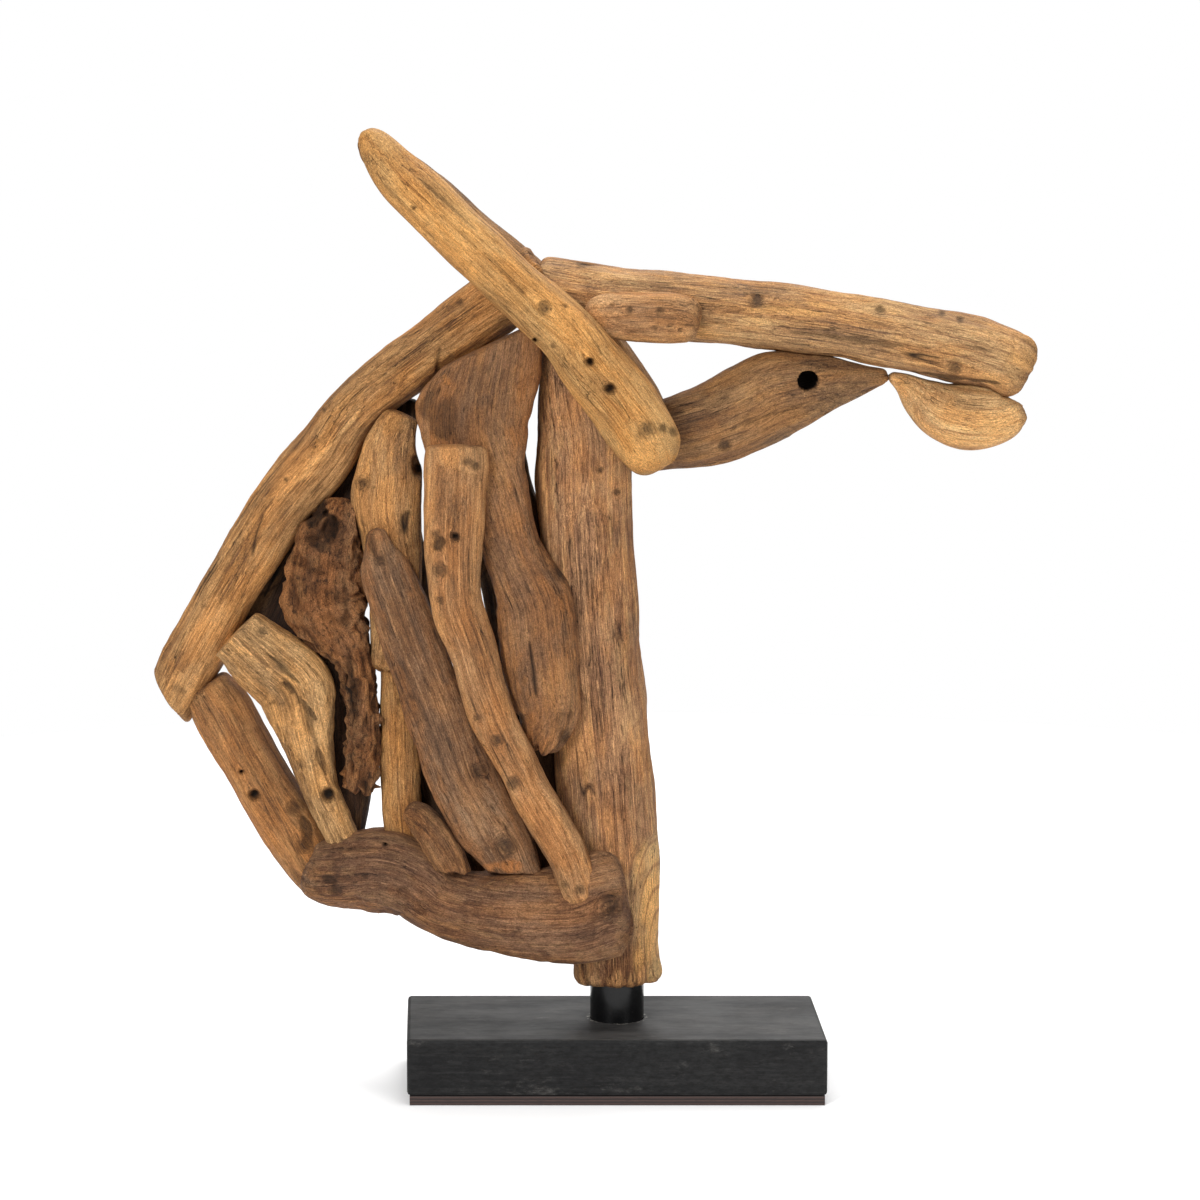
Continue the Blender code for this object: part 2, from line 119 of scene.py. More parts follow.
# Each log: the depth of its middle at both ends, its middle line as (across, up, width, depth),
# how far its ends are rounded as (along, inwards), the lean of both end cuts and its section's squareness.
# They stand in the order in which they are put together.
SHAPES = {
    "throat_post": ((0, 0), [
        (-1, 0, 70, 70), (-3, 67, 75, 72), (-6, 127, 80, 74), (-16, 245, 79, 74), (-24, 363, 77, 72),
        (-27, 412, 77, 70), (-28, 458, 74, 66), (-33, 493, 62, 60), (-38, 530, 48, 54), (-40, 552, 40, 48),
    ], ((9, 7), (4, 3)), (0, 0), 2.6),
    "nose_log": ((0, 0), [
        (-66, 579, 51, 52), (-20, 571, 54, 58), (26, 566, 55, 58), (105, 558, 55, 58), (186, 549, 54, 56),
        (267, 533, 57, 56), (304, 523, 55, 54), (322, 516, 54, 52), (336, 510, 47, 46),
    ], ((6, 4), (13, 11)), (0, 0), 2.5),
    "crest_log": ((0, 0), [
        (-370, 238, 47, 46), (-341, 293, 49, 52), (-314, 340, 49, 54), (-279, 396, 52, 56),
        (-242, 441, 52, 56), (-213, 481, 46, 54), (-168, 517, 47, 54), (-101, 565, 52, 54),
        (-60, 591, 50, 52),
    ], ((5, 5), (4, 4)), (-30, 0), 2.3),
    "jaw_log": ((-4, -4), [
        (8, 450, 48, 44), (39, 458, 58, 50), (60, 463, 63, 52), (84, 470, 67, 52), (110, 482, 72, 52),
        (130, 492, 72, 50), (152, 497, 60, 46), (179, 502, 40, 38), (201, 505, 25, 30), (220, 507, 12, 22),
    ], ((3, 3), (5, 4)), (0, 0), 2.3),
    "lip_block": ((0, 0), [
        (223, 507, 8, 20), (236, 500, 20, 28), (250, 489, 35, 36), (266, 479, 48, 44), (284, 474, 54, 46),
        (302, 473, 51, 46), (316, 474, 42, 42), (326, 478, 28, 36), (331, 481, 16, 28),
    ], ((3, 2), (2, 3)), (0, 0), 2.5),
    "brow_block": ((-29, -29), [
        (-26, 562, 28, 22), (-5, 559, 38, 28), (27, 558, 41, 30), (49, 557, 40, 28), (66, 554, 34, 24),
    ], ((14, 9), (8, 7)), (0, 0), 3.0),
    "ear_front": ((-52, -50), EAR, ((4, 3), (8, 8)), (0, 0), 2.5),
    "ear_back": ((52, 50), BACK_EAR, ((4, 3), (8, 8)), (0, 0), 2.5),
    "chest_log": ((-8, -46), [
        (-261, 98, 32, 44), (-250, 96, 48, 58), (-227, 96, 58, 62), (-208, 98, 68, 62), (-189, 97, 71, 62),
        (-167, 88, 63, 60), (-148, 75, 56, 58), (-119, 68, 61, 56), (-88, 65, 71, 54), (-60, 64, 80, 52),
        (-33, 66, 86, 50), (-8, 75, 92, 48), (8, 78, 74, 44),
    ], ((8, 8), (10, 12)), (0, 0), 2.4),
    "shoulder_log": ((2, 0), [
        (-342, 250, 40, 46), (-329, 231, 50, 50), (-313, 201, 49, 52), (-295, 169, 48, 54),
        (-276, 137, 47, 54), (-258, 107, 46, 52), (-245, 86, 40, 48), (-238, 74, 32, 40),
    ], ((6, 5), (6, 6)), (0, 0), 2.4),
    "root_slab": ((-16, -16), [
        (-224, 407, 18, 24), (-228, 390, 38, 32), (-235, 372, 54, 38), (-238, 351, 61, 40),
        (-239, 325, 67, 40), (-233, 307, 58, 38), (-224, 290, 44, 36), (-215, 272, 31, 34),
        (-212, 248, 28, 34), (-210, 220, 27, 34), (-211, 190, 29, 32), (-212, 166, 28, 30),
    ], ((4, 4), (4, 4)), (0, 0), 2.8),
    "elbow_branch": ((-20, -12), [
        (-313, 297, 52, 34), (-288, 273, 61, 36), (-267, 253, 64, 38), (-260, 231, 57, 38),
        (-255, 208, 43, 36), (-251, 190, 35, 34), (-245, 165, 30, 34), (-235, 140, 29, 34),
        (-226, 120, 27, 32),
    ], ((3, 2), (4, 4)), (0, 0), 2.5),
    "diagonal_slat": ((-32, -34), [
        (-196, 385, 14, 20), (-194, 370, 26, 26), (-190, 353, 42, 30), (-183, 333, 45, 30),
        (-165, 282, 48, 30), (-151, 247, 52, 30), (-139, 213, 55, 30), (-127, 180, 58, 30),
        (-111, 149, 56, 30), (-96, 123, 52, 30), (-85, 101, 44, 30),
    ], ((5, 4), (2, 2)), (0, -27), 3.0),
    "broad_slab": ((-28, -34), [
        (-104, 535, 89, 30), (-113, 495, 100, 34), (-114, 469, 92, 36), (-110, 450, 80, 36),
        (-103, 428, 57, 36), (-95, 399, 50, 34), (-87, 370, 48, 34), (-78, 348, 54, 36),
        (-68, 324, 66, 38), (-64, 291, 65, 38), (-60, 258, 60, 38), (-57, 234, 54, 36), (-60, 215, 38, 32),
        (-63, 204, 24, 26),
    ], ((3, 3), (4, 4)), (38, 0), 3.0),
    "bent_slat": ((-50, -54), [
        (-130, 455, 48, 26), (-130, 440, 51, 28), (-131, 411, 50, 30), (-133, 376, 49, 30),
        (-133, 346, 45, 30), (-130, 321, 42, 30), (-120, 291, 40, 30), (-108, 253, 37, 30),
        (-94, 218, 36, 30), (-75, 180, 34, 30), (-57, 149, 33, 30), (-41, 119, 34, 28), (-31, 92, 34, 26),
        (-27, 80, 28, 24),
    ], ((3, 2), (5, 5)), (0, 0), 2.8),
    "paddle_slat": ((-20, -14), [
        (-176, 478, 26, 20), (-182, 463, 36, 26), (-186, 447, 46, 30), (-187, 426, 57, 32),
        (-189, 406, 59, 34), (-186, 381, 52, 34), (-183, 357, 46, 32), (-183, 323, 41, 30),
        (-188, 290, 31, 26), (-192, 265, 20, 22),
    ], ((4, 3), (6, 6)), (0, 0), 2.7),
    "pale_slat": ((-10, -10), [
        (-184, 289, 22, 22), (-182, 256, 27, 26), (-181, 222, 32, 28), (-180, 188, 34, 30),
        (-179, 155, 34, 30), (-177, 125, 32, 30), (-172, 96, 30, 28),
    ], ((4, 4), (2, 2)), (0, 0), 2.7),
    "foot_wedge": ((-34, -38), [
        (-173, 153, 14, 18), (-163, 146, 23, 24), (-152, 132, 28, 26), (-143, 118, 30, 26),
        (-135, 101, 28, 26),
    ], ((4, 3), (2, 2)), (0, -25), 3.0),
    "back_broad_slat": ((16, 18), [
        (-116, 522, 60, 28), (-107, 450, 60, 30), (-98, 403, 60, 30), (-83, 353, 66, 32), (-75, 302, 68, 32),
        (-67, 235, 68, 32), (-59, 167, 64, 30), (-52, 92, 58, 28),
    ], ((4, 4), (3, 3)), (0, 0), 2.8),
    "back_middle_slat": ((12, 10), [
        (-186, 488, 48, 26), (-190, 440, 42, 28), (-189, 403, 44, 28), (-178, 336, 46, 28),
        (-175, 286, 44, 28), (-170, 235, 48, 28), (-162, 167, 56, 28), (-134, 74, 84, 28),
    ], ((4, 4), (3, 3)), (0, 0), 2.8),
    "back_short_slat": ((12, 10), [
        (-219, 297, 30, 24), (-226, 264, 46, 28), (-224, 218, 43, 30), (-224, 177, 44, 30),
        (-225, 150, 36, 30), (-224, 119, 25, 28),
    ], ((4, 4), (3, 3)), (0, 0), 2.6),
    "back_upper_slat": ((14, 14), [
        (-200, 455, 36, 26), (-228, 394, 54, 28), (-241, 361, 68, 30), (-262, 323, 86, 30),
        (-281, 282, 72, 28),
    ], ((4, 4), (4, 4)), (0, 0), 2.6),
}

# Each log: slot, light, middle and dark colour as the photograph shows them (0 to 255), how grey its patches
# are, how deep the weather went (in mm), and how strong its streaks are
LOOKS = {
    "throat_post": ("brown_teak", (193, 143, 96), (154, 109, 74), (98, 65, 45), 0.35, 0.45, 1.1),
    "nose_log": ("golden_teak", (202, 158, 106), (168, 123, 80), (105, 76, 56), 0.35, 0.35, 1.0),
    "crest_log": ("brown_teak", (201, 148, 92), (154, 108, 62), (102, 67, 41), 0.25, 0.30, 0.8),
    "jaw_log": ("brown_teak", (155, 115, 74), (125, 89, 58), (75, 53, 37), 0.40, 0.30, 0.9),
    "lip_block": ("pale_teak", (228, 184, 127), (192, 143, 92), (139, 99, 61), 0.10, 0.15, 0.6),
    "brow_block": ("golden_teak", (212, 163, 111), (174, 126, 83), (118, 85, 58), 0.20, 0.20, 0.5),
    "ear_front": ("pale_teak", (202, 154, 94), (181, 131, 74), (141, 93, 49), 0.08, 0.15, 0.6),
    # The back ear's colours are darker than the front ear's to paint the shade that it lies in behind it
    "ear_back": ("golden_teak", (169, 125, 79), (137, 97, 58), (90, 62, 38), 0.25, 0.20, 0.8),
    "chest_log": ("brown_teak", (168, 123, 87), (126, 87, 61), (96, 66, 47), 0.35, 0.45, 1.0),
    "shoulder_log": ("brown_teak", (183, 128, 76), (142, 96, 56), (85, 56, 35), 0.35, 0.35, 0.8),
    "root_slab": ("red_teak", (196, 134, 85), (146, 96, 59), (82, 55, 34), 0.20, 0.90, 0.6),
    "elbow_branch": ("brown_teak", (219, 168, 110), (165, 122, 75), (103, 73, 48), 0.35, 0.50, 1.0),
    "diagonal_slat": ("grey_teak", (166, 126, 89), (126, 90, 62), (82, 58, 41), 0.55, 0.30, 0.7),
    "broad_slab": ("grey_teak", (172, 124, 79), (141, 99, 67), (96, 68, 46), 0.35, 0.55, 0.8),
    "bent_slat": ("golden_teak", (192, 141, 92), (154, 106, 65), (103, 70, 44), 0.15, 0.20, 0.7),
    "paddle_slat": ("golden_teak", (200, 149, 93), (159, 113, 69), (99, 69, 44), 0.25, 0.40, 0.8),
    "pale_slat": ("pale_teak", (190, 139, 82), (153, 106, 62), (98, 68, 40), 0.20, 0.25, 0.8),
    "foot_wedge": ("golden_teak", (165, 116, 74), (131, 89, 56), (79, 53, 34), 0.25, 0.50, 1.0),
    # The back slats' colours are darkened to paint the shade that they lie in behind the front logs
    "back_broad_slat": ("brown_teak", (86, 62, 42), (67, 46, 30), (42, 29, 21), 0.40, 0.40, 0.9),
    "back_middle_slat": ("grey_teak", (78, 57, 40), (60, 42, 30), (38, 27, 20), 0.45, 0.40, 0.8),
    "back_short_slat": ("grey_teak", (80, 57, 42), (61, 42, 31), (38, 27, 20), 0.45, 0.40, 0.8),
    "back_upper_slat": ("red_teak", (77, 53, 36), (58, 39, 27), (34, 23, 18), 0.40, 0.45, 0.8),
}

# How far rot has left the surface crumbly, from 0 to 1
CRUMBLE = {"root_slab": 1.0, "chest_log": 0.45, "foot_wedge": 0.4, "elbow_branch": 0.2, "broad_slab": 0.25,
           "diagonal_slat": 0.2, "ear_front": 0.0, "lip_block": 0.0, "shoulder_log": 0.15}
PLAIN_CRUMBLE = 0.08

# Colour of freshly cut teak, and grey of weathered wood and dust
FRESH_CUT = {"throat_post": (255, 214, 138), "diagonal_slat": (176, 92, 30), "broad_slab": (205, 120, 50)}
PLAIN_FRESH_CUT = (222, 172, 108)
WARM = (1.07, 0.99, 0.87, 1)
COOL = (0.94, 0.99, 1.07, 1)
DUST = (124, 104, 84)

# Top of the block, where dust lies
BLOCK_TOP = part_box("base_block")[1][2]

# Steel post's grid and the angle of its sharp edges, and the ring of glue crumbs round its foot
STEEL_SIDES = 128
STEEL_RINGS = 24
SHARP_EDGE = radians(40)
GLUE_RING = 24 * MM

# Knots on the front as (across, down, radius) in the camera's pixels; a negative radius is an open hole,
# painted in full shade
KNOTS = {
    "ear_front": [(544, 308, 6), (590, 362, -4), (610, 389, -5), (647, 430, 7), (663, 428, 4), (673, 432, 4),
                  (535, 340, -2), (553, 346, 2), (565, 306, 2), (414, 208, 2)],
    "nose_log": [(757, 300, 6), (955, 367, 6), (880, 310, 4), (942, 313, 3), (960, 320, 3)],
    "brow_block": [(612, 305, 2), (630, 310, 3), (660, 311, 3), (618, 318, 2), (680, 330, 2), (655, 328, 2)],
    "bent_slat": [(468, 462, 4), (476, 466, 4), (436, 535, 4), (455, 537, -4), (440, 570, 6), (440, 600, 3),
                  (477, 718, 3), (497, 740, 5), (514, 783, 6), (565, 885, 3), (580, 890, 4)],
    "paddle_slat": [(419, 470, -6), (363, 483, 6)],
    "shoulder_log": [(254, 795, -5), (295, 808, 7), (305, 845, 7), (241, 772, -2)],
    "elbow_branch": [(328, 795, -6), (262, 632, 4)],
    "chest_log": [(386, 845, -2), (612, 905, 9), (335, 890, 5), (365, 876, 3)],
    "diagonal_slat": [(380, 560, 5), (506, 846, 9), (480, 770, 8)],
    "broad_slab": [(560, 572, 7), (566, 738, 6)],
    "throat_post": [(617, 492, 3), (600, 470, 3)],
    "crest_log": [(286, 480, 2), (324, 410, 2), (460, 302, 3)],
    "pale_slat": [(398, 655, 3), (402, 700, 3)],
    "jaw_log": [(725, 445, 5)],
}
KNOT_HOLLOW = 1.2 * MM
HOLE_DEPTH = 7 * MM

# How ragged a mark's rim is: a share of its size, the less the wider it is
RIM_RAGGED = 7
MOST_RAGGED = 0.45

# Marks on the front as (across, down, half length, half width) in pixels, turn in degrees, how deep it lies
# in mm, how dark (its own dark wood, and painted shade in its pits and cracks) and how pale it is
MARKS = {
    "throat_post": [(680, 916, 108, 59, 90, 6.0, 0, 1.0)],
    "bent_slat": [(440, 542, 5, 8, 20, 2.0, 0.8, 0), (441, 600, 6, 3, 0, 1.5, 0.7, 0),
                  (459, 458, 32, 17, 8, 1.2, 0, 0.4), (470, 770, 26, 4, 70, 0.6, 0.4, 0)],
    "ear_front": [(650, 452, 34, 18, 40, 1.0, 0, 0.35), (412, 196, 60, 5, 45, 0.3, 0, 0.5),
                  (432, 190, 62, 2.2, 42, 0.2, 0.4, 0), (404, 205, 46, 2, 48, 0.2, 0.3, 0),
                  (520, 290, 60, 2, 47, 0.2, 0.3, 0), (455, 226, 50, 2, 44, 0.2, 0.3, 0)],
    "broad_slab": [(556, 716, 26, 15, 84, 5.0, 0.15, 0), (447, 381, 10, 4, 60, 0.6, 0, 0.9),
                   (438, 410, 30, 19, 75, 1.0, 0.5, 0), (486, 398, 54, 44, 0, 0.3, 0.16, 0),
                   (548, 560, 15, 8, 60, -2.5, 0, 0.15), (572, 598, 14, 9, 80, -2.5, 0, 0.2),
                   (533, 672, 34, 1.6, 84, 2.0, 0.9, 0), (536, 470, 60, 1.6, 88, 1.5, 0.8, 0)],
    "chest_log": [(615, 907, 11, 3, -20, 3.0, 0.8, 0), (598, 918, 24, 2, -30, 1.0, 0.4, 0),
                  (452, 926, 60, 3, 14, 0.5, 0, 0.35), (505, 896, 34, 2, 4, 0.4, 0.4, 0),
                  (330, 880, 8, 4, 20, 1.5, 0.6, 0), (412, 901, 20, 9, 30, 3.0, 0.1, 0),
                  (612, 905, 20, 17, 0, -4.0, 0, 0.1), (352, 848, 44, 9, 8, 2.0, 0.2, 0)],
    "root_slab": [(316, 515, 15, 8, 120, 5.0, 0.8, 0), (330, 530, 20, 8, 95, 5.0, 0.8, 0),
                  (318, 545, 14, 7, 30, 4.0, 0.7, 0), (346, 606, 34, 4, 86, 2.0, 0.5, 0),
                  (325, 620, 26, 20, 20, -3.5, 0, 0.1), (308, 566, 20, 6, 30, 3.0, 0.25, 0),
                  (352, 680, 40, 4, 84, 2.5, 0.6, 0), (300, 600, 15, 4, 60, 2.0, 0.25, 0)],
    "elbow_branch": [(262, 645, 44, 10, 36, 2.0, 0, 0.2), (296, 680, 22, 4, 37, 0.3, 0, 0.9),
                     (262, 640, 26, 2, 36, 0.2, 0, 0.8), (248, 655, 22, 1.5, 38, 0.2, 0, 0.8),
                     (326, 690, 16, 13, 30, -3.5, 0, 0.2), (300, 700, 30, 3, 50, 1.5, 0.7, 0),
                     (316, 745, 34, 4, 72, 1.5, 0.6, 0), (283, 668, 32, 2.5, 42, 1.5, 0.7, 0)],
    "diagonal_slat": [(506, 866, 24, 6, -6, 1.0, 0, 0.9), (372, 545, 16, 4, 70, 1.5, 0.5, 0)],
    "crest_log": [(438, 360, 21, 1.8, 98, 0.8, 0.5, 0), (180, 690, 9, 3, 20, 0.4, 0.4, 0),
                  (446, 362, 20, 9, 75, 2.5, 0.1, 0.2), (180, 690, 26, 17, 20, 1.0, 0, 0.2),
                  (352, 400, 60, 12, -48, 1.5, 0, 0.35), (234, 624, 30, 3, 115, 0.2, 0, 0.9),
                  (242, 620, 22, 2, 113, 0.2, 0, 0.7), (337, 437, 34, 3, -50, 0.2, 0, 0.8),
                  (315, 462, 24, 2.5, -53, 0.2, 0, 0.7), (424, 366, 20, 3, -40, 0.2, 0, 0.6)],
    "paddle_slat": [(398, 425, 18, 7, 0, 2.0, 0.2, 0.3), (418, 468, 13, 6, 80, 4.0, 0.7, 0),
                    (363, 480, 12, 9, 80, -3.0, 0, 0.1)],
    "shoulder_log": [(306, 830, 26, 6, 75, 2.5, 0.7, 0), (216, 690, 12, 9, 30, -2.0, 0, 0.1)],
    "nose_log": [(690, 318, 42, 8, 8, 0.4, 0.3, 0), (765, 322, 48, 3.5, 6, 0.2, 0, 0.9),
                 (950, 377, 56, 2.2, 7, 1.2, 0.7, 0), (985, 350, 30, 2, 15, 0.4, 0.4, 0),
                 (850, 308, 60, 2.5, 6, 0.2, 0, 0.6), (640, 285, 40, 3, 5, 0.4, 0.3, 0),
                 (1013, 362, 26, 7, 104, 1.0, 0, 0.35), (860, 340, 80, 3.5, 7, 0.8, 0.5, 0),
                 (790, 312, 60, 4, 5, 0.4, 0, 0.6), (935, 383, 70, 5, 6, 1.5, 0.45, 0)],
    "jaw_log": [(722, 390, 52, 10, -28, 0.3, 0.2, 0), (852, 398, 36, 5, -24, 0.3, 0, 0.4),
                (760, 418, 50, 2, -18, 0.5, 0.4, 0), (735, 395, 40, 9, -25, 0.5, 0, 0.25),
                (840, 395, 36, 12, -22, 1.0, 0.1, 0.1)],
    "lip_block": [(968, 412, 44, 18, 8, 1.6, 0, 0.3)],
}

# Noises in the wood: whether it follows the wavy grain, what is left of its pace along the grain, its own
# shift (or none, for the log's), scale, detail and roughness
WOOD_NOISES = {
    "broad": (False, 0.5, None, 26, 5, 0.62), "strand": (True, 0.022, None, 850, 5, 0.7),
    "fibre": (True, 0.022, None, 1800, 3, 0.75), "speckle": (True, 0.7, None, 1100, 3, 0.8),
    "patches": (False, 0.25, (3, 1, 2), 34, 5, 0.65), "scuffs": (True, 0.16, (1, 3, 5), 55, 7, 0.74),
    "threads": (True, 0.035, (4, 3, 1), 330, 5, 0.7), "crumbs": (False, 0.6, None, 210, 8, 0.78),
    "pores": (True, 0.07, (1, 5, 2), 1700, 1, 0.5), "split": (True, 0.02, (2, 1, 4), 130, 3, 0.55),
    "hues": (False, 0.4, (7, 2, 3), 38, 5, 0.6),
}

# Brightest colour that scuffs and threads are taken from
SCUFF_LIMIT = 225
THREAD_LIMIT = 218

# Colours of the black paint, the plywood and the gloss paint (0 to 255)
PAINT = {"deep": (9, 9, 10), "thin": (24, 24, 24), "line": (60, 58, 57), "scuff": (96, 93, 89),
         "dust": (112, 109, 106), "glue": (176, 172, 160)}
PLY = {"dark": (30, 22, 20), "light": (70, 50, 44), "pore": (24, 18, 17)}
GLOSS = {"black": (10, 10, 11), "dust": (70, 68, 66)}

# Share of the room's white that lights the sculpture, and the round floor
ROOM_LIGHT = 0.36
FLOOR_RADIUS = 1.75
FLOOR_SIDES = 96
FLOOR_WHITE = (0.97, 0.97, 0.97, 1)

# Soft boxes as (place, side in metres, power in watts), and the point that they face
LIGHTS = {"key": ((-1.5, -2.4, 2.0), 0.9, 72), "fill": ((2.0, -2.4, 1.1), 1.4, 26),
          "top": ((0.1, 0.1, 2.8), 1.6, 56), "rim": ((0.6, 2.4, 2.2), 1.8, 40)}
LIGHT_TARGET = Vector((0, 0, 0.42))

# Eye, bored into the jaw, with a swollen collar round it
EYE_PIXEL = (808, 381)
EYE_RADIUS = 8.5 * MM
EYE_DEPTH = 19 * MM
COLLAR_WIDTH = 12 * MM
COLLAR_HEIGHT = 1.6 * MM


def linear(colour):
    """A colour of the photograph, 0 to 255, as linear light."""
    share = np.array(colour) / 255
    return (*np.where(share < 0.04045, share / 12.92, ((share + 0.055) / 1.055) ** 2.4), 1.0)


def mesh_object(name, verts, faces, smooth=True):
    """A mesh object at the origin, with its place in its mesh."""
    mesh = bpy.data.meshes.new(name)
    mesh.from_pydata(verts.reshape(-1, 3).tolist(), [], faces)
    mesh.polygons.foreach_set("use_smooth", np.full(len(faces), smooth))
    mesh.update()
    piece = bpy.data.objects.new(name, mesh)
    bpy.context.scene.collection.objects.link(piece)
    return piece


def closed_tube_faces(rings, sides):
    """Quads between neighbouring rings, and triangles that close both ends to the last two points."""
    ring, side = np.meshgrid(np.arange(rings - 1), np.arange(sides), indexing="ij")
    here, beside = ring * sides + side, ring * sides + (side + 1) % sides
    quads = np.stack([here, beside, beside + sides, here + sides], axis=-1).reshape(-1, 4)
    side, beside = np.arange(sides), (np.arange(sides) + 1) % sides
    last = (rings - 1) * sides
    first_fan = np.stack([beside, side, np.full(sides, rings * sides)], axis=-1)
    last_fan = np.stack([last + side, last + beside, np.full(sides, rings * sides + 1)], axis=-1)
    return quads.tolist() + first_fan.tolist() + last_fan.tolist()


def outward(piece):
    """Turns the faces round if the closed mesh's signed volume is negative."""
    mesh = piece.data
    corners = np.empty(len(mesh.vertices) * 3)
    mesh.vertices.foreach_get("co", corners)
    mesh.calc_loop_triangles()
    triangles = np.empty(len(mesh.loop_triangles) * 3, int)
    mesh.loop_triangles.foreach_get("vertices", triangles)
    a, b, c = corners.reshape(-1, 3)[triangles.reshape(-1, 3)].transpose(1, 0, 2)
    if np.einsum("ij,ij->i", a, np.cross(b, c)).sum() < 0:
        mesh.flip_normals()


def through_stations(stations, where):
    """Catmull-Rom curve through the stations, read at places counted in stations."""
    padded = np.vstack([2 * stations[0] - stations[1], stations, 2 * stations[-1] - stations[-2]])
    first = np.clip(np.floor(where).astype(int), 0, len(stations) - 2)
    t = (where - first)[:, None]
    a, b, c, d = (padded[first + step] for step in range(4))
    return 0.5 * (2 * b + (c - a) * t + (2 * a - 5 * b + 4 * c - d) * t**2 + (3 * b - a - 3 * c + d) * t**3)


def ring_places(total, start_round, end_round, step):
    """Places of the rings: close together in the rounded ends, even between them."""
    bend = 1 - np.cos(np.linspace(0, np.pi / 2, END_RINGS))
    body = np.linspace(start_round, total - end_round, int((total - start_round - end_round) / step))[1:-1]
    return np.concatenate([start_round * bend, body, (total - end_round * bend)[::-1]])


def corner_inset(distance, along, inwards):
    """How far a rounded end has drawn in at that distance from the end: a quarter of an ellipse."""
    share = np.clip(1 - distance / along, 0, 1)
    return inwards * (1 - np.sqrt(1 - share**2))


def blurred(field, along, around):
    """Gaussian blur by that many cells along the log and round it, ends held, closed round the log."""
    reach = int(np.ceil(3 * along)) + 1
    padded = np.pad(field, ((reach, reach), (0, 0)), mode="edge")
    down = np.fft.fftfreq(padded.shape[0])[:, None]
    turn = np.fft.rfftfreq(padded.shape[1])[None]
    kept = np.exp(-2 * np.pi**2 * ((down * along) ** 2 + (turn * around) ** 2))
    return np.fft.irfft2(np.fft.rfft2(padded) * kept, padded.shape)[reach:-reach]


def weather(shape, rng, along, around):
    """Random waves of unit strength, with those lengths in mm along and round the log."""
    field = blurred(rng.standard_normal(shape), along * MM / STEP_ALONG, around * MM / STEP_ROUND)
    return (field - field.mean()) / field.std()


def hewn(place, turns, rng):
    """Share of the radius left by flat faces: least of 1 and depth / cos(turn - own) + (way off)^2 / 8."""
    left = np.ones((len(place), len(turns)))
    for _ in range(FACETS):
        row, column = rng.integers(len(place)), rng.integers(len(turns))
        off = (place - place[row])[:, None] / (rng.uniform(35, 90) * MM)
        open_side = np.cos(turns - turns[column]).clip(0.3, 1)
        left = np.minimum(left, rng.uniform(0.92, 0.985) / open_side + off**2 / 8)
    return left


def weathered(shape, rng, depth, lumps):
    """Relief of old teak in metres, and how much painted shade each recessed place gets, from 0 to 1.

    Broad dents, furrows drawn out along the grain, deeper eroded stretches, lumps where the wood is burred
    (1 - |wave|), and cracks where a drawn-out wave passes through nought.
    """
    wave = {title: weather(shape, rng, *lengths) for title, lengths in WEATHER_WAVES.items()}
    burr = 1.0 - 1.2 * np.abs(wave["burr"]) + 0.6 * wave["fine burr"]
    erosion = 1 / (1 + np.exp(-2.5 * wave["erosion"]))
    cracks = blurred(np.exp(-(wave["split"] / 0.035) ** 2) * (wave["opened"] > 1.0), 0.6, 0.3)
    cut = wave["furrows"] * (0.25 + 0.5 * erosion) - np.abs(wave["gullies"]) * 1.2 * erosion
    relief = MM * (0.8 * wave["dents"] + lumps * burr + depth * 0.8 * cut - depth * 2.5 * cracks)
    # Painted shade: darker in furrows, cracks and between the burr's lumps, where shade falls
    sunken_shade = 0.3 * np.clip(-0.3 * cut - 0.25, 0, 1) + cracks + 0.3 * lumps * np.clip(-0.4 * burr, 0, 1)
    return relief, np.clip(sunken_shade, 0, 1)


def pixels_of(verts):
    """Where the photograph's camera sees each point, in its pixels: across and down."""
    x, y, z = (verts - CAMERA_PLACE).T
    ahead = y * np.cos(CAMERA_PITCH) - z * np.sin(CAMERA_PITCH)
    above = y * np.sin(CAMERA_PITCH) + z * np.cos(CAMERA_PITCH)
    return PHOTO_SIZE / 2 + FOCAL_PIXELS * x / ahead, PHOTO_SIZE / 2 - FOCAL_PIXELS * above / ahead


def marked(name, verts, grain, front, ragged):
    """Knots, holes and marks of a log: pushes its front along +Y, bends its grain round the knots.

    A knot's depth falls off as exp(-r^6). A mark is level inside its ragged ellipse and smooth over its rim,
    by t^2 (3 - 2 t). A negative depth raises it.
    """
    across, down = pixels_of(verts)
    push, dark, pale = np.zeros((3, len(verts)))
    for knot_across, knot_down, radius in KNOTS.get(name, ()):
        away = np.hypot(across - knot_across, down - knot_down) / abs(radius)
        spot = np.exp(-away**6) * front
        push += spot * (HOLE_DEPTH if radius < 0 else KNOT_HOLLOW)
        # An open hole is painted fully dark as shade; a knot is 0.7 dark for its own darker wood, with a
        # dark ring round it
        dark = np.maximum(dark, spot * (1.0 if radius < 0 else 0.7))
        dark = np.maximum(dark, 0.5 * np.exp(-((away - 1.15) / 0.22) ** 2) * front)
        heart = grain[np.argmin(np.where(front > 0, away, np.inf))]
        size = abs(radius) * PIXEL * 1.2
        off = grain - heart
        pinch = 0.9 * np.exp(-(off[:, 0] / size) ** 2 - (off[:, 2] / (2.4 * size)) ** 2) * front
        grain[:, 0] -= off[:, 0] * pinch
    for mark_across, mark_down, long, wide, turn, deep, darker, paler in MARKS.get(name, ()):
        right, below = across - mark_across, down - mark_down
        along = (right * np.cos(radians(turn)) + below * np.sin(radians(turn))) / long
        beside = (below * np.cos(radians(turn)) - right * np.sin(radians(turn))) / wide
        rim = min(MOST_RAGGED, RIM_RAGGED / wide) * ragged
        inside = np.clip((1 - along**2 - beside**2 + rim) / 0.6, 0, 1)
        inside = inside * inside * (3 - 2 * inside) * front
        push += deep * MM * inside
        # A mark's darkness: partly its own dark wood, partly painted shade in its pits and cracks
        dark = np.maximum(dark, darker * inside)
        pale = np.maximum(pale, paler * inside)
    verts[:, 1] += push
    grain[:, 1] += push
    return dark, pale


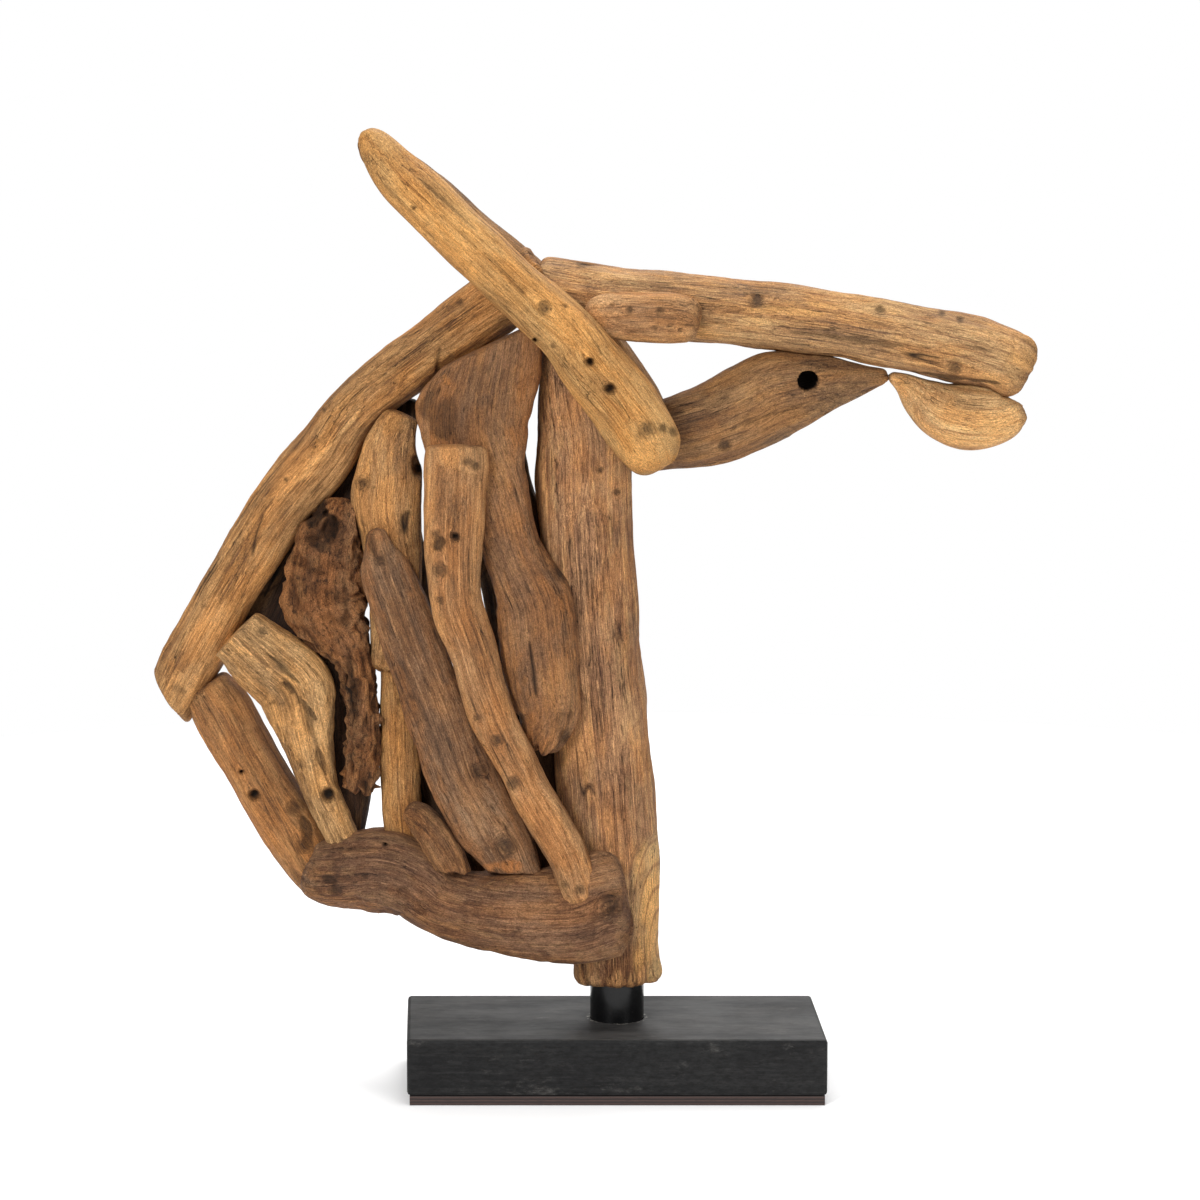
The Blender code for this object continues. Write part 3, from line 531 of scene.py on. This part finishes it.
def bored_eye(verts, front):
    """The jaw's eye: points near its rim drawn to the rim, those inside pushed in, a low collar round it."""
    right, down = pixels_of(verts)
    away = np.hypot(right - EYE_PIXEL[0], down - EYE_PIXEL[1]) * PIXEL
    nearest = np.argmin(np.where(front > 0, away, np.inf))
    x, _, z = verts[nearest]
    off = verts[:, (0, 2)] - (x, z)
    away = np.hypot(*off.T)
    reach = 0.4 * EYE_RADIUS
    t = np.clip((away - EYE_RADIUS) / reach, -1, 1)
    drawn = np.where(np.abs(t) < 1, EYE_RADIUS + reach * np.sign(t) * np.abs(t) ** 2.4, away)
    scale = np.where(front > 0, drawn / np.maximum(away, 0.01 * MM), 1)
    verts[:, (0, 2)] = (x, z) + off * scale[:, None]
    inside = (drawn < EYE_RADIUS) * front
    collar = np.exp(-((drawn - EYE_RADIUS) / COLLAR_WIDTH) ** 2) * front * (1 - inside)
    verts[:, 1] += inside * EYE_DEPTH - collar * COLLAR_HEIGHT
    return inside


def rings_of(name):
    """A log's rings: place along it, whole length, (across, up, width, depth), heading and lean of each.

    The middle line is a Catmull-Rom curve. The lean of an end's cut fades out over one width from that end.
    """
    _, path, ends, leans, _ = SHAPES[name]
    stations = np.array(path, float)
    fine = np.linspace(0, len(stations) - 1, LINE_POINTS)
    line = through_stations(stations, fine)
    travelled = np.concatenate([[0], np.cumsum(np.hypot(*np.diff(line[:, :2], axis=0).T))])
    total = travelled[-1]
    place = ring_places(total, ends[0][0], ends[1][0], STEP_ALONG / SHARE)
    sizes = through_stations(stations, np.interp(place, travelled, fine)).T
    ahead = np.gradient(line[:, :2], axis=0)
    heading = np.arctan2(*(np.interp(place, travelled, ahead[:, part]) for part in (1, 0)))
    lean = (radians(leans[0]) * np.clip(1 - place / path[0][2], 0, 1)
            + radians(leans[1]) * np.clip(1 - (total - place) / path[-1][2], 0, 1))
    return place, total, sizes, heading, lean


def end_cap(body, grain, row, inner):
    """One end's cap: smaller copies of its ring on a dome 1 - share^2 high, its pole, and their grain."""
    shares = np.array(CAP_SHARES)[:, None, None]
    heart = body[row].mean(axis=0)
    outwards = heart - body[inner].mean(axis=0)
    outwards /= np.linalg.norm(outwards)
    cap = heart + (body[row] - heart) * shares + outwards * CAP_DOME * (1 - shares**2)
    return cap, heart + outwards * CAP_DOME, grain[row] * [1, 1, 0] * shares + grain[row] * [0, 0, 1]


def log_surface(name, depth):
    """A weathered log: rounded sections carried along its bent middle line, with relief on them.

    Section: |u / (width / 2)|^n + |v / (depth / 2)|^n = 1, u across the middle line and v along Y. The
    attribute "grain" holds each point in the log's straightened frame, the shade attribute the painted shade
    of its furrows, holes and bore together with its dark knots and marks, and "pale" how freshly cut or
    worn.
    """
    depths, _, ((start_along, start_in), (end_along, end_in)), _, squareness = SHAPES[name]
    place, total, (across, up, width, thick), heading, lean = rings_of(name)
    inset = corner_inset(place, start_along, start_in) + corner_inset(total - place, end_along, end_in)
    phase = sum(map(ord, name))
    rng = np.random.default_rng(phase)

    sides = int(np.pi * np.median(width + thick) / 2 * SHARE / STEP_ROUND)
    turns = np.arange(sides) / sides * 2 * np.pi
    wave = 1 + WAVE_SHARE * np.sin(place / WAVE_ALONG + phase)[:, None] * np.cos(
        2 * turns + phase + (place / WAVE_TWIST)[:, None])
    u, v = (np.maximum(size / 2 - inset, 1)[:, None] * wave
            * np.sign(part) * np.abs(part) ** (2 / squareness)
            for size, part in ((width, np.cos(turns)), (thick, np.sin(turns))))
    whole, angle = np.hypot(u, v) * SHARE, np.arctan2(v, u)
    radius = whole * blurred(hewn(place * SHARE, turns, rng), 0.7, 0.8)
    relief, sunken_shade = weathered(radius.shape, rng, depth, LUMPS.get(name, PLAIN_LUMPS))
    ridges = radius + relief - blurred(radius + relief, 2.5, 5)
    radius = radius + relief * np.clip(whole / FULL_RELIEF, 0, 1)
    u, v = radius * np.cos(angle), radius * np.sin(angle)

    turned = (heading + np.pi / 2 + lean)[:, None]
    middle_depth = np.interp(place, [0, total], depths)[:, None]
    body = np.stack([across[:, None] * SHARE + u * np.cos(turned), middle_depth * SHARE + v,
                     up[:, None] * SHARE + HORSE_FOOT + u * np.sin(turned)], axis=-1)
    jag = weather((1, sides), rng, *JAG_WAVE) * RAGGED_ENDS.get(name, PLAIN_END) * MM
    near_end = np.clip(1 - (total - place)[:, None] * SHARE / END_REACH, 0, 1) ** 2
    forwards = np.stack([np.cos(heading), 0 * heading, np.sin(heading)], axis=-1)
    body += forwards[:, None] * (jag * near_end)[..., None]
    grain = np.stack([u, v, np.broadcast_to(place[:, None] * SHARE, u.shape)], axis=-1)

    first, first_pole, first_grain = end_cap(body, grain, 0, 3)
    last, last_pole, last_grain = end_cap(body, grain, -1, -4)
    verts = np.concatenate([first[::-1].reshape(-1, 3), body.reshape(-1, 3), last.reshape(-1, 3),
                            [first_pole, last_pole]])
    grain = np.concatenate([first_grain[::-1].reshape(-1, 3), grain.reshape(-1, 3),
                            last_grain.reshape(-1, 3), [grain[0].mean(axis=0), grain[-1].mean(axis=0)]])

    def with_caps(values):
        """Values of the body's points, and nought on the caps and poles."""
        rest = len(CAP_SHARES) * sides
        return np.concatenate([np.zeros(rest), values.ravel(), np.zeros(rest + 2)])

    # Painted shade in the furrows and cracks; dark knots and marks and the painted shade of holes join it
    # below
    shade_and_dark_spots = with_caps(sunken_shade)
    worn = with_caps(np.clip(ridges / (0.5 * MM), 0, 1) * 0.3)
    front = (verts[:, 1] < np.interp(grain[:, 2] / SHARE, [0, total], depths) * SHARE) * 1.0
    dark, pale = marked(name, verts, grain, front, with_caps(weather(radius.shape, rng, *RIM_WAVE)))
    shade_and_dark_spots, pale = np.maximum(shade_and_dark_spots * (1 - 0.8 * pale), dark), np.maximum(worn, pale)
    # The eye's bore is painted fully dark, as shade
    if name == "jaw_log":
        shade_and_dark_spots = np.maximum(shade_and_dark_spots, bored_eye(verts, front))
    piece = mesh_object(name + "_wood", verts, closed_tube_faces(len(verts) // sides, sides))
    outward(piece)
    attribute = piece.data.attributes.new("grain", "FLOAT_VECTOR", "POINT")
    attribute.data.foreach_set("vector", grain.astype(np.float32).ravel())
    for title, values in (("shade_and_dark_spots", shade_and_dark_spots), ("pale", pale)):
        attribute = piece.data.attributes.new(title, "FLOAT", "POINT")
        attribute.data.foreach_set("value", values.astype(np.float32))
    return piece


class Shader:
    """A material's node tree, with short calls for its nodes."""

    def __init__(self, name):
        self.material = bpy.data.materials.new(name)
        self.material.use_nodes = True
        self.tree = self.material.node_tree
        self.surface = self.tree.nodes["Principled BSDF"]

    def give(self, socket, value):
        """Sets a socket to a constant, or joins it to the output that feeds it."""
        if isinstance(value, bpy.types.NodeSocket):
            self.tree.links.new(value, socket)
        else:
            socket.default_value = value

    def node(self, kind, **values):
        """A node of that kind; each value is an input's constant or the output that feeds it."""
        made = self.tree.nodes.new(kind)
        for name, value in values.items():
            self.give(made.inputs[name.replace("_", " ")], value)
        return made

    def feed(self, name, output):
        """Joins an output to the surface's input of that name."""
        self.tree.links.new(output, self.surface.inputs[name])

    def attribute(self, name):
        """One of the mesh's own attributes."""
        made = self.tree.nodes.new("ShaderNodeAttribute")
        made.attribute_name = name
        return made

    def place(self):
        """The point's place in its object's coordinates."""
        return self.tree.nodes.new("ShaderNodeTexCoord").outputs["Object"]

    def stretched(self, vector, scale, shift=(0, 0, 0)):
        """The vector with its parts drawn out."""
        return self.node("ShaderNodeMapping", Vector=vector, Scale=scale, Location=shift).outputs[0]

    def moved(self, vector, waves, by):
        """The vector moved to and fro by a noise's colour."""
        off = self.tree.nodes.new("ShaderNodeVectorMath")
        off.operation = "MULTIPLY_ADD"
        for socket, value in zip(off.inputs, (waves, (by, by, by), vector)):
            self.give(socket, value)
        return off.outputs[0]

    def noise(self, vector, scale, detail, rough):
        """A noise's value."""
        made = self.node("ShaderNodeTexNoise", Vector=vector, Scale=scale, Detail=detail, Roughness=rough)
        return made.outputs[0]

    def rings(self, vector, axis, scale, distortion):
        """Growth rings: waves of the distance from that axis, a little distorted."""
        made = self.node("ShaderNodeTexWave", Vector=vector, Scale=scale, Distortion=distortion, Detail=2.0,
                         Detail_Scale=0.5)
        made.wave_type, made.rings_direction = "RINGS", axis
        return made.outputs["Fac"]

    def between(self, value, low, high, to_low=0.0, to_high=1.0):
        """The value stretched from one range to another, and clamped."""
        made = self.node("ShaderNodeMapRange", Value=value)
        for socket, number in zip(list(made.inputs)[1:5], (low, high, to_low, to_high)):
            socket.default_value = number
        return made.outputs[0]

    def maths(self, operation, one, other=0.0):
        """The outcome of a Math node's operation on two values."""
        made = self.tree.nodes.new("ShaderNodeMath")
        made.operation = operation
        for socket, value in zip(made.inputs, (one, other)):
            self.give(socket, value)
        return made.outputs[0]

    def plus(self, total, value, weight):
        """The total and a value times its weight."""
        return self.maths("ADD", total, self.maths("MULTIPLY", value, weight))

    def away(self, value, middle):
        """How far the value is from that middle, on either side."""
        return self.maths("ABSOLUTE", self.maths("SUBTRACT", value, middle))

    def mix(self, share, one, other, blend="MIX"):
        """One colour over another."""
        made = self.tree.nodes.new("ShaderNodeMix")
        made.data_type, made.blend_type = "RGBA", blend
        for socket, value in zip((made.inputs[0], made.inputs[6], made.inputs[7]), (share, one, other)):
            self.give(socket, value)
        return made.outputs[2]

    def times(self, colour, share):
        """The colour times a grey of that strength."""
        grey = self.node("ShaderNodeCombineColor", Red=share, Green=share, Blue=share).outputs[0]
        return self.mix(1.0, colour, grey, "MULTIPLY")

    def bump(self, height, strength, distance):
        """Gives the surface a relief of that height."""
        made = self.node("ShaderNodeBump", Height=height, Strength=strength, Distance=distance)
        self.feed("Normal", made.outputs[0])


def teak(name, light, middle, dark, grey, streaks):
    """Old teak: broad tones, growth rings, streaks and fibres along the grain, pores, cracks, grey spots."""
    wood = Shader(name + "_teak")
    light, middle, dark = (np.array(tone) for tone in (light, middle, dark))
    rot = CRUMBLE.get(name, PLAIN_CRUMBLE)
    shift = (sum(map(ord, name)) % 17 * 0.31, 0.2, 0.7)
    grain = wood.attribute("grain").outputs["Vector"]
    waves = wood.node("ShaderNodeTexNoise", Vector=wood.stretched(grain, (1, 1, 0.2), shift), Scale=18,
                      Detail=2)
    straight = wood.moved(grain, waves.outputs["Color"], 0.006)
    noise = {}
    for title, (wavy, left, own_shift, *numbers) in WOOD_NOISES.items():
        vector = wood.stretched(straight if wavy else grain, (1, 1, left), own_shift or shift)
        noise[title] = wood.noise(vector, *numbers)

    years = wood.rings(wood.stretched(straight, (1, 1, 0.02), (0.013, 0.021, 0)), "Z", 44, 2.0)
    late = wood.between(years, 0.80, 1.0)
    tone = wood.maths("MULTIPLY", wood.maths("SUBTRACT", noise["strand"], 0.5), 0.95 * streaks)
    tone = wood.plus(tone, wood.maths("SUBTRACT", noise["broad"], 0.5), 0.95)
    tone = wood.plus(tone, wood.maths("SUBTRACT", late, 0.25), -0.13)
    colour = wood.mix(wood.between(tone, -0.26, 0.0), linear(dark), linear(middle))
    colour = wood.mix(wood.between(tone, 0.0, 0.22), colour, linear(light))

    greyed = linear(0.55 * dark + 0.45 * np.array(DUST))
    colour = wood.mix(wood.between(noise["patches"], 0.54, 0.72, 0, 0.8 * grey), colour, greyed)
    scuffed = wood.between(noise["scuffs"], 0.55, 0.66, 0, 0.35 * streaks)
    colour = wood.mix(scuffed, colour, linear(1.08 * light.clip(0, SCUFF_LIMIT)))
    threaded = wood.between(noise["threads"], 0.56, 0.64, 0, 0.65 * streaks)
    colour = wood.mix(threaded, colour, linear(1.12 * light.clip(0, THREAD_LIMIT)))

    fresh = linear(0.6 * light + 0.4 * np.array(FRESH_CUT.get(name, PLAIN_FRESH_CUT)))
    nested = wood.rings(wood.stretched(straight, (1, 0, 0.25), (0.034, 0, -0.008)), "Y", 62, 1.6)
    drawn = wood.mix(wood.between(nested, 0.86, 1.0, 0, 0.7), fresh, linear(middle))
    colour = wood.mix(wood.attribute("pale").outputs["Fac"], colour, drawn)

    colour = wood.mix(wood.between(noise["crumbs"], 0.40, 0.48, 0.75 * rot, 0.0), colour, linear(0.4 * dark))
    colour = wood.mix(wood.between(noise["crumbs"], 0.54, 0.64, 0.0, 0.5 * rot), colour, linear(light))
    colour = wood.times(colour, wood.maths("MULTIPLY", wood.between(noise["fibre"], 0.3, 0.7, 0.62, 1.34),
                                           wood.between(noise["speckle"], 0.3, 0.7, 0.50, 1.52)))
    pitted = wood.between(noise["pores"], 0.62, 0.70, 0, 0.6)
    colour = wood.mix(pitted, colour, linear(0.5 * dark))
    thin = wood.between(wood.away(noise["split"], 0.5), 0.0, 0.010, 1.0, 0.0)
    cracked = wood.maths("MULTIPLY", thin, wood.between(noise["broad"], 0.44, 0.54, 0.85, 0.0))
    colour = wood.mix(cracked, colour, linear(0.30 * dark))
    colour = wood.mix(1.0, colour, wood.mix(wood.between(noise["hues"], 0.42, 0.58), WARM, COOL), "MULTIPLY")
    # Painted shade in furrows, cracks, holes and the eye's bore, with dark knots and marks: a third of the
    # dark tone
    colour = wood.mix(wood.attribute("shade_and_dark_spots").outputs["Fac"], colour, linear(0.30 * dark))
    wood.feed("Base Color", colour)

    height = noise["strand"]
    relief = ((noise["fibre"], 0.5), (noise["crumbs"], 8.0 * rot), (pitted, -0.4), (cracked, -0.8))
    for value, weight in relief:
        height = wood.plus(height, value, weight)
    wood.bump(height, 1.0, 1.5 * MM)
    wood.feed("Roughness", wood.between(noise["strand"], 0.3, 0.7, 0.60, 0.86))
    wood.surface.inputs["Specular IOR Level"].default_value = 0.22
    return wood.material


def black_paint():
    """Matt black paint over wood: brush lines along X, scuffs, wiped dust on top, a ring of glue crumbs."""
    paint = Shader("black_paint_on_wood")
    tint = {title: linear(colour) for title, colour in PAINT.items()}
    place = paint.place()
    lines = paint.noise(paint.stretched(place, (0.05, 1, 1)), 420, 5, 0.6)
    clouds = paint.noise(place, 16, 4, 0.6)
    scuffs = paint.noise(paint.stretched(place, (0.4, 1, 1), (2, 0, 1)), 60, 8, 0.78)
    specks = paint.noise(paint.stretched(place, (0.4, 1, 1)), 420, 6, 0.75)
    wiped = paint.noise(paint.stretched(place, (0.3, 1, 1), (5, 1, 2)), 40, 7, 0.75)
    colour = paint.mix(paint.between(clouds, 0.3, 0.7), tint["deep"], tint["thin"])
    colour = paint.mix(paint.between(lines, 0.45, 0.70, 0, 0.15), colour, tint["line"])
    colour = paint.mix(paint.between(scuffs, 0.56, 0.70, 0, 0.35), colour, tint["scuff"])
    colour = paint.times(colour, paint.between(specks, 0.36, 0.64, 0.4, 1.8))

    height = paint.node("ShaderNodeSeparateXYZ", Vector=place).outputs["Z"]
    on_top = paint.between(height, BLOCK_TOP - MM, BLOCK_TOP - 0.2 * MM)
    dusty = paint.maths("MULTIPLY", on_top, paint.between(wiped, 0.38, 0.62, 0.05, 0.30))
    colour = paint.mix(dusty, colour, tint["dust"])
    flat = paint.node("ShaderNodeVectorMath", Vector=paint.stretched(place, (1, 1, 0)))
    flat.operation = "LENGTH"
    ring = paint.between(paint.away(flat.outputs["Value"], GLUE_RING), 0.0, 2.5 * MM, 1.0, 0.0)
    crumbs = paint.between(paint.noise(place, 330, 4, 0.7), 0.54, 0.60)
    colour = paint.mix(paint.maths("MULTIPLY", ring, crumbs), colour, tint["glue"])
    paint.feed("Base Color", colour)
    paint.feed("Roughness", paint.between(clouds, 0.3, 0.7, 0.45, 0.65))
    paint.surface.inputs["Specular IOR Level"].default_value = 0.2
    paint.bump(lines, 0.25, 0.4 * MM)
    return paint.material


def stained_plywood():
    """Dark stained plywood: thin layers over its height, with fine pores of end grain."""
    ply = Shader("stained_plywood")
    place = ply.place()
    layers = ply.node("ShaderNodeTexWave", Vector=place, Scale=120, Distortion=0.6, Detail=2.0)
    layers.bands_direction = "Z"
    pores = ply.noise(ply.stretched(place, (0.3, 0.3, 1)), 700, 4, 0.7)
    colour = ply.mix(layers.outputs["Fac"], linear(PLY["dark"]), linear(PLY["light"]))
    ply.feed("Base Color", ply.mix(ply.between(pores, 0.5, 0.75, 0, 0.6), colour, linear(PLY["pore"])))
    ply.surface.inputs["Roughness"].default_value = 0.7
    ply.bump(pores, 0.6, 0.5 * MM)
    return ply.material


def black_gloss():
    """Gloss black paint on steel, with faint waves and dust."""
    gloss = Shader("black_gloss_on_steel")
    place = gloss.place()
    waves = gloss.noise(place, 90, 3, 0.5)
    dusty = gloss.between(gloss.noise(place, 900, 3, 0.7), 0.62, 0.8, 0, 0.5)
    gloss.feed("Base Color", gloss.mix(dusty, linear(GLOSS["black"]), linear(GLOSS["dust"])))
    gloss.feed("Roughness", gloss.between(waves, 0.3, 0.7, 0.16, 0.26))
    gloss.surface.inputs["Specular IOR Level"].default_value = 0.3
    gloss.bump(waves, 0.15, 0.4 * MM)
    return gloss.material


def steel_surface():
    """The steel post: a circle carried up its axis, with its foot and head closed."""
    low, high = (np.array(corner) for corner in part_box("steel_post"))
    radius = (high[0] - low[0]) / 2
    turns = np.arange(STEEL_SIDES) / STEEL_SIDES * 2 * np.pi
    heights, turns = np.meshgrid(np.linspace(low[2], high[2], STEEL_RINGS), turns, indexing="ij")
    rings = np.stack([radius * np.cos(turns), radius * np.sin(turns), heights], axis=-1)
    verts = np.concatenate([rings.reshape(-1, 3), [(0, 0, low[2]), (0, 0, high[2])]])
    piece = mesh_object("steel_post_pipe", verts, closed_tube_faces(STEEL_RINGS, STEEL_SIDES))
    outward(piece)
    piece.data.set_sharp_from_angle(angle=SHARP_EDGE)
    return piece


def finish_piece(piece, node, material):
    """Gives a piece its material, hangs it on the root body and hides the node that it stands for."""
    piece.data.materials.clear()
    piece.data.materials.append(material)
    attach(piece, "root")
    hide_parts(node)


def dress_logs():
    """Every log in its own wood."""
    for name, (slot, light, middle, dark, grey, depth, streaks) in LOOKS.items():
        finish_piece(log_surface(name, depth), name, teak(name, light, middle, dark, grey, streaks))


def dress_base():
    """The block and its foot keep their solids; the post gets a rounder surface."""
    for name, material in (("base_block", black_paint()), ("base_foot", stained_plywood())):
        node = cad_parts[name]
        node.data.materials.clear()
        node.data.materials.append(material)
    finish_piece(steel_surface(), "steel_post", black_gloss())


def add_camera():
    """The photograph's camera."""
    data = bpy.data.cameras.new("photo_camera")
    data.sensor_width = 36
    data.lens = FOCAL_PIXELS / PHOTO_SIZE * data.sensor_width
    camera = bpy.data.objects.new("photo_camera", data)
    camera.location = CAMERA_PLACE
    camera.rotation_euler = (radians(90) - CAMERA_PITCH, 0, 0)
    bpy.context.scene.collection.objects.link(camera)
    bpy.context.scene.camera = camera


def add_light(name, place, size, power):
    """A square soft box that faces the sculpture."""
    data = bpy.data.lights.new(name, "AREA")
    data.size, data.energy = size, power
    light = bpy.data.objects.new(name, data)
    light.location = place
    light.rotation_euler = (LIGHT_TARGET - Vector(place)).to_track_quat("-Z", "Y").to_euler()
    bpy.context.scene.collection.objects.link(light)


def add_studio():
    """A round pale floor, a white room that lights the sculpture less than it shows, and the soft boxes."""
    turns = np.arange(FLOOR_SIDES) / FLOOR_SIDES * 2 * np.pi
    verts = FLOOR_RADIUS * np.stack([np.cos(turns), np.sin(turns), np.zeros(FLOOR_SIDES)], axis=-1)
    floor = mesh_object("studio_floor", verts, [range(FLOOR_SIDES)], smooth=False)
    white = Shader("studio_white")
    white.surface.inputs["Base Color"].default_value = FLOOR_WHITE
    white.surface.inputs["Roughness"].default_value = 0.95
    floor.data.materials.append(white.material)
    world = bpy.data.worlds.new("studio_room")
    world.use_nodes = True
    background = world.node_tree.nodes["Background"]
    background.inputs["Color"].default_value = (1, 1, 1, 1)
    seen = world.node_tree.nodes.new("ShaderNodeLightPath").outputs["Is Camera Ray"]
    strength = world.node_tree.nodes.new("ShaderNodeMapRange")
    strength.inputs["To Min"].default_value = ROOM_LIGHT
    world.node_tree.links.new(seen, strength.inputs["Value"])
    world.node_tree.links.new(strength.outputs[0], background.inputs["Strength"])
    bpy.context.scene.world = world
    for name, (place, size, power) in LIGHTS.items():
        add_light(name, place, size, power)
    bpy.context.scene.view_settings.view_transform = "Standard"


dress_logs()
dress_base()
add_camera()
add_studio()
